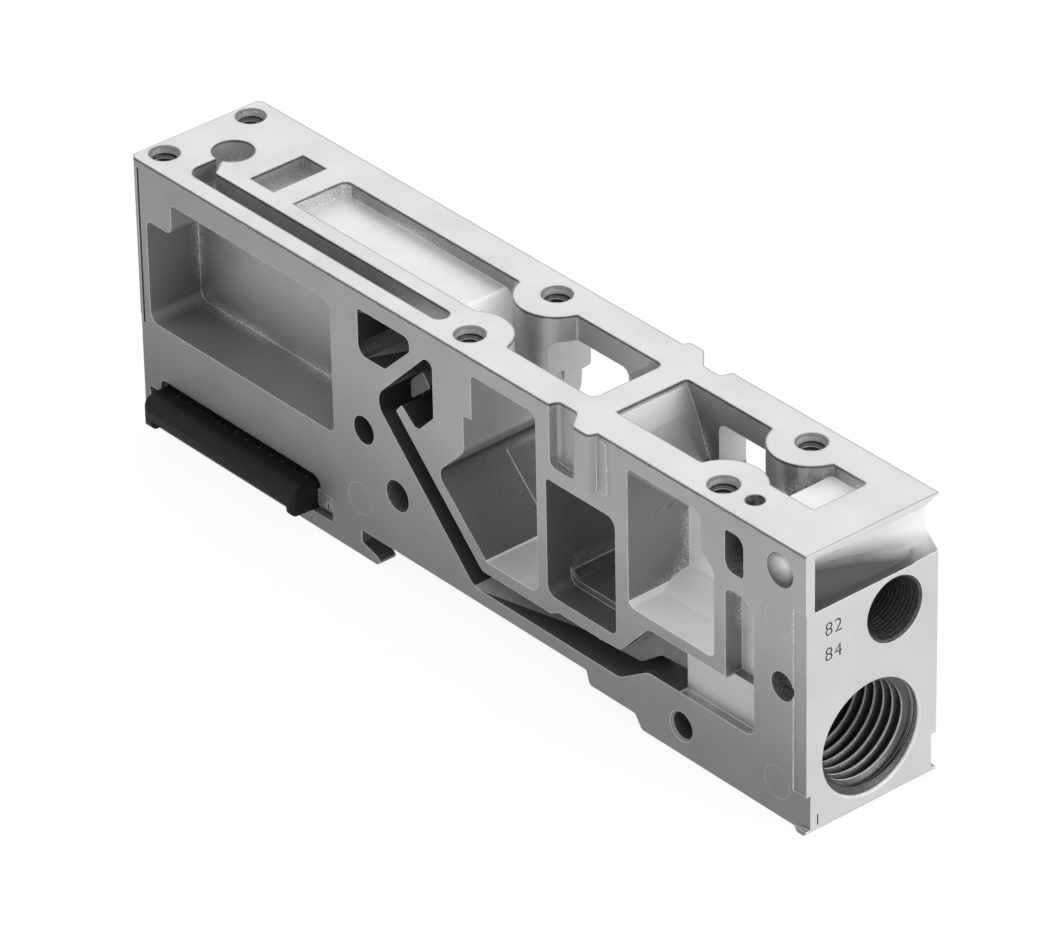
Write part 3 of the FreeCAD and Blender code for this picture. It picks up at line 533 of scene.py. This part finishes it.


# Several cast skins are one metal in tones set for how light falls on each region: painted light in the pale,
# bright, floor, ramp and keyhole skins, painted shade in the dark, slanting, ledge, channel and middle skins.
# The long sides are darker than the milled faces partly for their die skin and partly as painted shade, and
# the end is darker than the top as painted shade.
finishes = {
    "inner": metal_finish("cast_inner_skin", 0.37, 0.02, 0.42, 0.7, 0.15, 0.85, glitter=0.9, recess_shade=0.35),
    "slot": metal_finish("cast_slot_skin", 0.47, 0.02, 0.42, 0.7, 0.15, 0.85, recess_shade=0.85),
    "keyhole": metal_finish("cast_keyhole_skin", 0.60, 0.03, 0.42, 0.65, 0.15, 0.9, glitter=0.5, recess_shade=0.7),
    # The fifth window's middle walls darken towards the bottom as painted shade.
    "mid": metal_finish("cast_middle_skin_painted_shade", 0.34, 0.02, 0.42, 0.7, 0.15, 0.95, glitter=0.9, recess_shade=0.7,
                        painted_foot_tone=0.75, foot=(0.013, 0.024)),
    "upper": metal_finish("cast_upper_skin", 0.48, 0.02, 0.42, 0.6, 0.15, 0.95, glitter=0.4, recess_shade=0.7),
    "pale": metal_finish("cast_skin_painted_light", 0.80, 0.02, 0.42, 0.6, 0.15, 1.0, glitter=0.4, recess_shade=0.9),
    "bright": metal_finish("cast_skin_painted_strong_light", 0.98, 0.01, 0.42, 0.2, 0.15, 1.0, glitter=0.4),
    "dark": metal_finish("cast_skin_painted_shade", 0.24, 0.02, 0.42, 0.7, 0.15, 0.8, recess_shade=0.6),
    "slant": metal_finish("cast_slant_painted_shade", 0.15, 0.02, 0.42, 0.7, 0.15, 0.8, glitter=0.4, recess_shade=0.6),
    "ledge": metal_finish("cast_ledge_painted_shade", 0.14, 0.02, 0.42, 0.7, 0.15, 0.9, recess_shade=0.8),
    "channel": metal_finish("cast_channel_painted_shade", 0.10, 0.01, 0.42, 0.7, 0.15, 0.9, recess_shade=0.6),
    "floor": metal_finish("cast_floor_painted_light", 0.80, 0.02, 0.45, 0.6, 0.15, 1.0, glitter=0.6),
    "ramp": metal_finish("cast_ramp_painted_light", 0.98, 0.01, 0.40, 0.15, 0.15, 1.0, glitter=0.6),
    # The oblong pocket lightens towards its floor as painted light.
    "pocket": metal_finish("cast_rough_pocket", 0.41, 0.10, 0.42, 0.5, 0.3, 0.85, glitter=0.8,
                           painted_foot_tone=2.2, foot=(0.0302, 0.0322)),
    "grainy": metal_finish("cast_grainy_wall", 0.62, 0.30, 0.42, 0.5, 0.3, 0.95),
    # The long sides darken towards the bottom and the left end as painted shade.
    "side": metal_finish("cast_side_skin", 0.36, 0.01, 0.42, 0.6, 0.08, 1.0, painted_foot_tone=0.55, painted_left_tone=0.75,
                         soft=0.00012),
    # The dimple has a painted highlight and dark edges as painted shade.
    "dimple": metal_finish("pressed_dimple", 0.72, 0.01, 0.40, 0.4, 0.08, 0.2,
                           highlight_spot=tuple(casting_point(103.1, 0.9, 3.1))),
    # The top's edges are painted with a thin dark line of shade.
    "top": metal_finish("milled_top", 0.66, 0.01, 0.42, 0.8, 0.04, 0.06, soft=0.0003, rim=0),
    "end": metal_finish("milled_end", 0.59, 0.01, 0.42, 0.8, 0.04, 0.95, rim=0),
    # The lip's hollow darkens downwards as painted shade.
    "lip": metal_finish("milled_lip", 0.90, 0.01, 0.75, 0.0, 0.04, 0.9, lip_shade=True, rim=0),
    "ring": metal_finish("turned_ring", 0.68, 0.12, 0.35, 0.3, 0.05, 0.95),
    # Bores are dark as painted shade, crests bright as painted highlight.
    "bore": metal_finish("bore_painted_shade", 0.10, 0.04, 0.35, 0.8, 0.1, 0.2),
    "pilot": metal_finish("dark_pilot_bore", 0.07, 0.05, 0.6, 0.3, 0.3, 0.02),
    "crest": metal_finish("crest_painted_highlight", 0.98, 0.02, 0.3, 0.1, 0.05, 1.0),
    # The stamped figures are dark as painted shade in their hollows.
    "stamp": metal_finish("stamped_figure", 0.13, 0.03, 0.45, 0.7, 0.1, 0.6),
}

# Casting, fifth step: where each finish lies. A region is a box in casting_point's millimetres, and may
# take only the faces that look one way or those of one round hole. The first region that holds the
# middle of a face counts, and what is in none is inner skin.
FAR = 1000
EVERYWHERE = (-FAR, FAR)
NEAR = 0.03
SQUARE = 0.9                                # share of the normal of a face that looks along an axis
wide = (back_face_y - front_face_y) * 1000
shallow = (-FAR, 8.5)                       # drop of all that the top's pockets hold
fifth_window = (74.2, 95.0)                 # x span
regions = []


def looking(axis, share):
    """Test for a normal with more than the share along an axis, or with less where the share is negative."""
    return lambda normal: normal[axis] > share if share > 0 else normal[axis] < share


front = looking(1, -SQUARE)


def region(finish, x=EVERYWHERE, y=EVERYWHERE, drop=EVERYWHERE, faces=None, hole=None):
    """Adds a region. A hole is its axis, 0 for x, 1 for y or 2 for the drop, with the two places of its
    middle on the other axes and its radius."""
    regions.append((finish, (x, y, drop), faces, hole))


region("top", drop=(-FAR, NEAR), faces=looking(2, SQUARE))
region("end", x=(length - NEAR, FAR), faces=looking(0, SQUARE))
region("ring", x=(length - port_ring, FAR), hole=(0, *supply_port, 7.1))
region("bore", x=(length - 12.5, FAR), hole=(0, *supply_port, 7.1))
region("pilot", x=(length - 9.0, FAR), hole=(0, *pilot_port, 4.1))
for column in screw_columns:
    for row in screw_rows:
        region("ring", drop=(-FAR, screw_ring), hole=(2, column, row, 2.2))
        region("bore", drop=(-FAR, 6.2), hole=(2, column, row, 2.2))
for figures_y, figures_drop in (((-FAR, 5.5), (8.5, 16.5)), ((1.2, 5.5), (30.5, FAR))):   # 82 with 84, and 1
    region("stamp", x=(length - digit_depth * 1000 - NEAR, FAR), y=figures_y, drop=figures_drop)
region("lip", x=(length - 3.1, FAR), y=(1.2, FAR), drop=(NEAR, 7.1))
region("end", x=(-FAR, NEAR), faces=looking(0, -SQUARE))
region("dimple", y=(0.01, 1.2), hole=(1, 103.45, 3.33, 1.94))
region("dark", y=(0.1, FAR), hole=(1, 88.54, 29.44, 1.8))                         # lower round hole
region("slot", x=(83.0, FAR), y=(0.9, 1.1), faces=front)                          # shallow arm
for side_y in ((-1.1, 1.1), (wide - 1.1, wide + 1.1)):
    region("side", y=side_y, faces=looking(1, -0.4))
    region("side", y=side_y, faces=looking(1, 0.4))
region("side", x=(-FAR, 1.6), y=(-FAR, 0.6))                                      # groove at the left end
region("keyhole", drop=shallow, hole=(2, 6.8, 8.75, 2.5))
region("slot", x=(-FAR, 49.0), y=(2.1, 4.7), drop=shallow)
region("slot", x=(-FAR, 9.5), drop=shallow)
region("pocket", x=(12.2, 17.0), y=(6.0, 13.9), drop=shallow)                     # oblong pocket
region("channel", x=(36.5, 47.0), y=(0.3, FAR), drop=(2.5, 13.5))                 # second window
region("ramp", x=(43.5, FAR), y=(6.0, 13.9), drop=shallow, faces=looking(2, 0.6))
region("floor", y=(6.0, 13.9), drop=shallow, faces=looking(2, 0.6))               # shallow recess
region("grainy", x=(19.3, 21.2), y=(6.3, 13.9), drop=shallow)
region("side", y=(-FAR, NEAR), faces=front)
region("ledge", y=(1.4, 1.8), faces=front)
region("ledge", x=(40.0, 50.0), y=(-FAR, 2.3), faces=front)
region("pale", x=(84.5, FAR), y=(-FAR, 2.3), faces=front)
region("side", y=(-FAR, 2.3), faces=front)
region("channel", y=(5.5 - NEAR, 5.5 + NEAR), faces=front)                        # hook-shaped channel
region("dark", x=(67.6, 79.5), drop=(9.0, FAR))                                   # fourth window
region("slant", x=(50.0, 58.5), drop=(15.0, 24.5), faces=looking(0, 0.5))         # third window
region("floor", x=(56.0, 67.0), drop=(22.5, FAR), faces=looking(2, 0.4))
region("ramp", x=fifth_window, drop=(10.0, 24.6), faces=looking(2, 0.3))
region("upper", x=fifth_window, y=(1.2, FAR), drop=shallow, faces=looking(0, 0.5))
region("inner", x=fifth_window, drop=shallow)
region("mid", x=fifth_window, drop=(8.5, 24.6), faces=looking(0, 0.5))
region("ledge", x=(45.0, 88.5), y=(-FAR, 9.0), drop=(23.5, 24.6), faces=looking(0, -0.3))
region("inner", x=fifth_window, drop=(8.5, 24.6), faces=looking(0, -0.3))
region("bright", x=fifth_window, drop=(8.5, 24.6))
region("ledge", x=(36.5, 49.5), y=(-FAR, 5.6), drop=(6.0, FAR))                   # walls of the channel
region("ledge", x=(45.0, 88.5), y=(-FAR, 9.0), drop=(23.5, FAR))
region("slot", x=(47.0, 67.5), y=(0.3, FAR), drop=(-FAR, 16.5))                   # top of the third window


def holds(spans, faces, hole, place, normal):
    """Whether a region takes a face that has its middle at place."""
    if not all(low < value < high for value, (low, high) in zip(place, spans)):
        return False
    if hole:
        axis, first, second, radius = hole
        if math.dist(place[:axis] + place[axis + 1:], (first, second)) >= radius:
            return False
    return faces is None or faces(normal)


def finish_of(face):
    """The finish of the first region that takes a face of the casting."""
    place = (
        (face.center.x - left_end_x) * 1000,
        (face.center.y - front_face_y) * 1000,
        (top_face_z - face.center.z) * 1000)
    for finish, spans, faces, hole in regions:
        if holds(spans, faces, hole, place, face.normal):
            return finish
    return "inner"


def ridge_finish(ridge, face):
    """Painted highlight on a ridge's crest and painted shade on its flanks, but in the pilot port painted
    shade all over.
    """
    if ridge.name.startswith("pilot"):
        return "pilot"
    along_bore = face.normal.x if ridge.name.startswith("supply") else face.normal.z
    return "crest" if abs(along_bore) < 0.3 else "bore"


order = list(finishes)
# The burr takes the crests' painted highlight, the parting line the floors' painted light.
wall_forms = {"inner": ear_block, "crest": burr, "floor": parting_line}
for piece in (casting, *ridges, *wall_forms.values()):
    for finish in finishes.values():
        piece.data.materials.append(finish)
for face in casting.data.polygons:
    face.material_index = order.index(finish_of(face))
for ridge in ridges:
    for face in ridge.data.polygons:
        face.material_index = order.index(ridge_finish(ridge, face))
for finish, form in wall_forms.items():
    for face in form.data.polygons:
        face.material_index = order.index(finish)

# Casting, last step: the ridges and small forms are joined to it, as they are cut from or cast on the same
# metal. The hollow under the lip is a turned surface, so its facets are shaded as one smooth form.
work_on(casting)
for piece in (*ridges, *wall_forms.values()):
    piece.select_set(True)
bpy.ops.object.join()
bpy.ops.object.shade_smooth_by_angle(angle=math.radians(35))
lip_edges = set()
other_edges = set()
for face in casting.data.polygons:
    edges = lip_edges if order[face.material_index] == "lip" else other_edges
    edges.update(face.edge_keys)
for edge in casting.data.edges:
    if edge.key in lip_edges and edge.key not in other_edges:
        edge.use_edge_sharp = False
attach(casting, "root")
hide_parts("plate_casting")
bpy.ops.object.select_all(action="DESELECT")

# Link housing: a black glass-filled moulding, dull, with a fine spark-eroded grain, pushed into the lower
# left part of the casting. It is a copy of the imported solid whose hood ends 1.5 mm earlier at the right,
# with a thinner right cheek, a sharper left corner and a higher brow, as in the photograph.
hood_depth = 0.0017         # the hood reaches this far behind the front face
hood_excess = 0.0015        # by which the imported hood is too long
right_cheek = 0.00161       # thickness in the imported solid, and the share of it that stays
right_cheek_share = 0.47
left_corner = 0.00091       # width of the rounded corner, and the share of it that stays
left_corner_share = 0.4
brow_z = top_face_z - 0.03015
brow_rise = 0.00025

black_moulding, nodes, links, plastic = blank_finish("black_moulding")
grain = noise(nodes, links, nodes.new("ShaderNodeTexCoord").outputs["Object"], 6000, 2)
links.new(tinted(nodes, links, grain, 0.35, 0.65, [0.006] * 3, [0.011] * 3), plastic.inputs["Base Color"])
links.new(mapped(nodes, links, grain, 0.0, 1.0, 0.50, 0.62), plastic.inputs["Roughness"])
plastic.inputs["Specular IOR Level"].default_value = 0.2
soft_grain(nodes, links, plastic, grain, 0.00015, 6, 0.15, 0.00002)

housing = closed_copy("link_housing", "link_moulding")
bpy.ops.object.mode_set(mode="OBJECT")
housing.data.materials.append(black_moulding)
hood_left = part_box("link_housing")[0].x
hood_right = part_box("link_housing")[1].x
for corner in housing.data.vertices:
    if corner.co.y < front_face_y + hood_depth:
        from_left = corner.co.x - hood_left
        from_right = hood_right - corner.co.x
        if from_right < right_cheek:
            corner.co.x = hood_right - hood_excess - right_cheek_share * from_right
        if from_left < left_corner:
            corner.co.x = hood_left + left_corner_share * from_left
        if abs(corner.co.z - brow_z) < 0.00002:
            corner.co.z += brow_rise
work_on(housing)
bpy.ops.object.shade_smooth_by_angle(angle=math.radians(30))
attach(housing, "root")
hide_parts("link_housing")
bpy.ops.object.select_all(action="DESELECT")

# Link contacts: tinned blades pressed into the housing, dull grey. Their legs show as small squares on
# top of the hood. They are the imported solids, with only the finish laid on.
dull_tin, nodes, links, tin = blank_finish("dull_tin")
tin.inputs["Metallic"].default_value = 1.0
bloom = noise(nodes, links, nodes.new("ShaderNodeTexCoord").outputs["Object"], 3000, 2)
links.new(tinted(nodes, links, bloom, 0.0, 1.0, (0.10, 0.10, 0.10), (0.26, 0.26, 0.25)),
          tin.inputs["Base Color"])
links.new(mapped(nodes, links, bloom, 0.0, 1.0, 0.35, 0.55), tin.inputs["Roughness"])
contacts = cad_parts["link_contacts"]
contacts.data.materials.clear()
contacts.data.materials.append(dull_tin)
